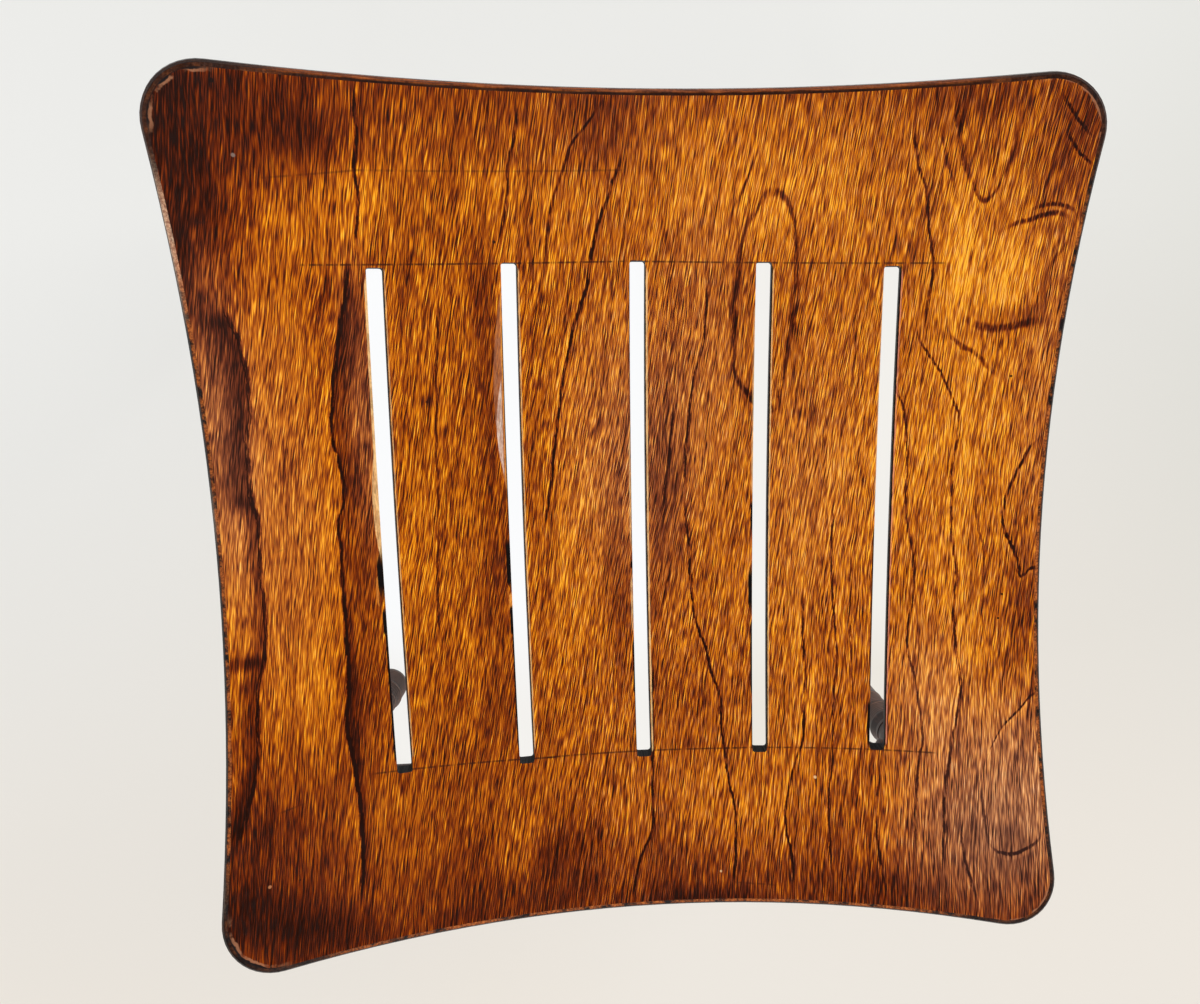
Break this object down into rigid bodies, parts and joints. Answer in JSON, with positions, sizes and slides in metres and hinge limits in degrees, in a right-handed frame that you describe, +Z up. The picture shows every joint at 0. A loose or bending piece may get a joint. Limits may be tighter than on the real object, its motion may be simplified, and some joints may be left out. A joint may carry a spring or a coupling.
{
  "type": "low stool",
  "caption": "Low square stool: a dished, slotted plywood seat with hollowed sides on turned, ringed legs joined by stretchers and leaning struts.",
  "frame": {"origin": "centre of the stool on the floor, under the middle of the seat", "axes": "+Z up through the middle of the seat, +Y along the slots, +X across them"},
  "size_m": [0.4284, 0.4284, 0.3675],
  "materials": {
    "stained_ply": "glossy varnished veneer",
    "dark_wood": "satin dark stain",
    "plain_wood": "raw",
    "screw_steel": "dull"
  },
  "bodies": {
    "root": {"seat_panel": "stained_ply", "leg_front_left": "dark_wood", "leg_front_right": "dark_wood", "leg_back_left": "dark_wood", "leg_back_right": "dark_wood", "rail_front": "dark_wood", "rail_back": "dark_wood", "rail_left": "dark_wood", "rail_right": "dark_wood", "stretcher_front": "dark_wood", "stretcher_back": "dark_wood", "stretcher_left": "dark_wood", "stretcher_right": "dark_wood", "strut_front_upright_a": "dark_wood", "strut_front_upright_b": "dark_wood", "strut_front_leaning_a": "dark_wood", "strut_front_leaning_b": "dark_wood", "strut_back_upright_a": "dark_wood", "strut_back_upright_b": "dark_wood", "strut_back_leaning_a": "dark_wood", "strut_back_leaning_b": "dark_wood", "strut_left_upright_a": "dark_wood", "strut_left_upright_b": "dark_wood", "strut_left_leaning_a": "dark_wood", "strut_left_leaning_b": "dark_wood", "strut_right_upright_a": "dark_wood", "strut_right_upright_b": "dark_wood", "strut_right_leaning_a": "dark_wood", "strut_right_leaning_b": "dark_wood", "block_front_left": "plain_wood", "block_front_right": "plain_wood", "block_back_left": "plain_wood", "block_back_right": "plain_wood", "screw_front_left": "screw_steel", "screw_front_right": "screw_steel", "screw_back_left": "screw_steel", "screw_back_right": "screw_steel", "peg_front_left_a": "plain_wood", "peg_front_left_b": "plain_wood", "peg_front_right_a": "plain_wood", "peg_front_right_b": "plain_wood", "peg_back_left_a": "plain_wood", "peg_back_left_b": "plain_wood", "peg_back_right_a": "plain_wood", "peg_back_right_b": "plain_wood"}
  },
  "joints": []
}
